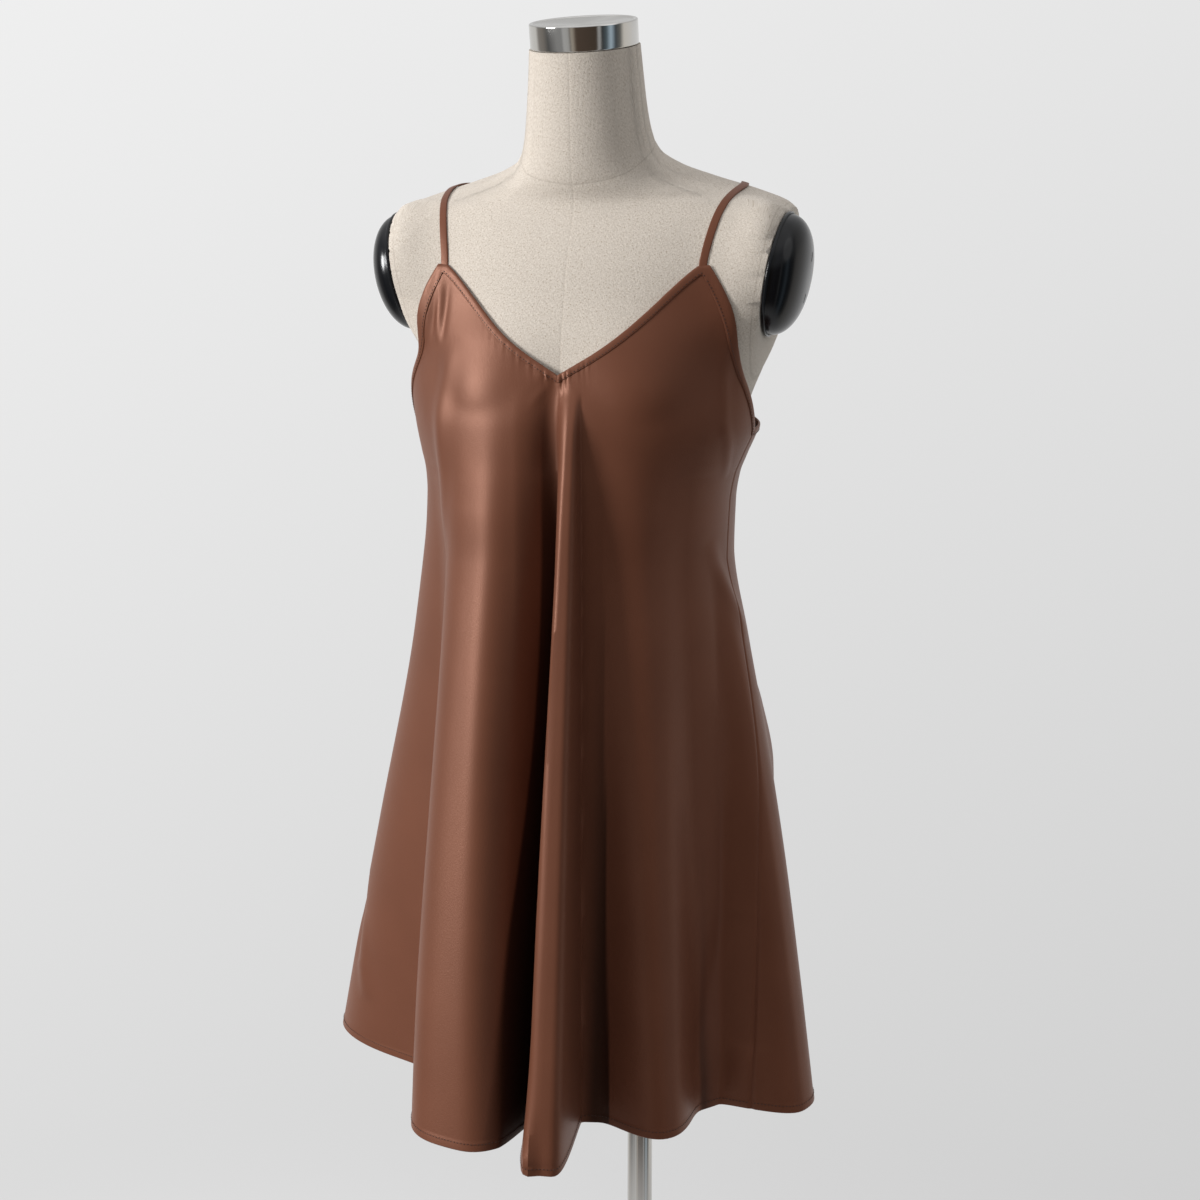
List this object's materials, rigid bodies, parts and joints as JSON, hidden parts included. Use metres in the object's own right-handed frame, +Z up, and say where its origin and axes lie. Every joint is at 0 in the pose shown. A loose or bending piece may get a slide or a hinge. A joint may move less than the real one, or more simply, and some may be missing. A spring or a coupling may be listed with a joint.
{
  "type": "slip dress on a dress form",
  "caption": "Short satin slip dress with a V neck, thin shoulder straps and a flared, softly folded skirt, worn by a limbless linen dress form on a chrome pole and a round base.",
  "frame": {"origin": "centre of the round base's underside, under the pole, on the floor", "axes": "+Z up the pole; the dress and the form face -Y; the form's own left arm is at +X"},
  "size_m": [0.4874, 0.5118, 1.5458],
  "materials": {
    "satin": "brown satin, soft sheen",
    "linen": "natural linen, matt",
    "chrome": "bright chrome plate",
    "black_plastic": "high gloss black",
    "base_steel": "brushed steel"
  },
  "bodies": {
    "root": {"dress_front": "satin", "dress_back": "satin", "neck_binding_left": "satin", "neck_binding_right": "satin", "armhole_binding_left": "satin", "armhole_binding_right": "satin", "back_binding": "satin", "strap_left": "satin", "strap_right": "satin", "form_body": "linen", "neck_cap": "chrome", "arm_cap_left": "black_plastic", "arm_cap_right": "black_plastic", "pole_socket": "base_steel", "pole": "chrome", "base_collar": "chrome", "base": "base_steel"}
  },
  "joints": []
}
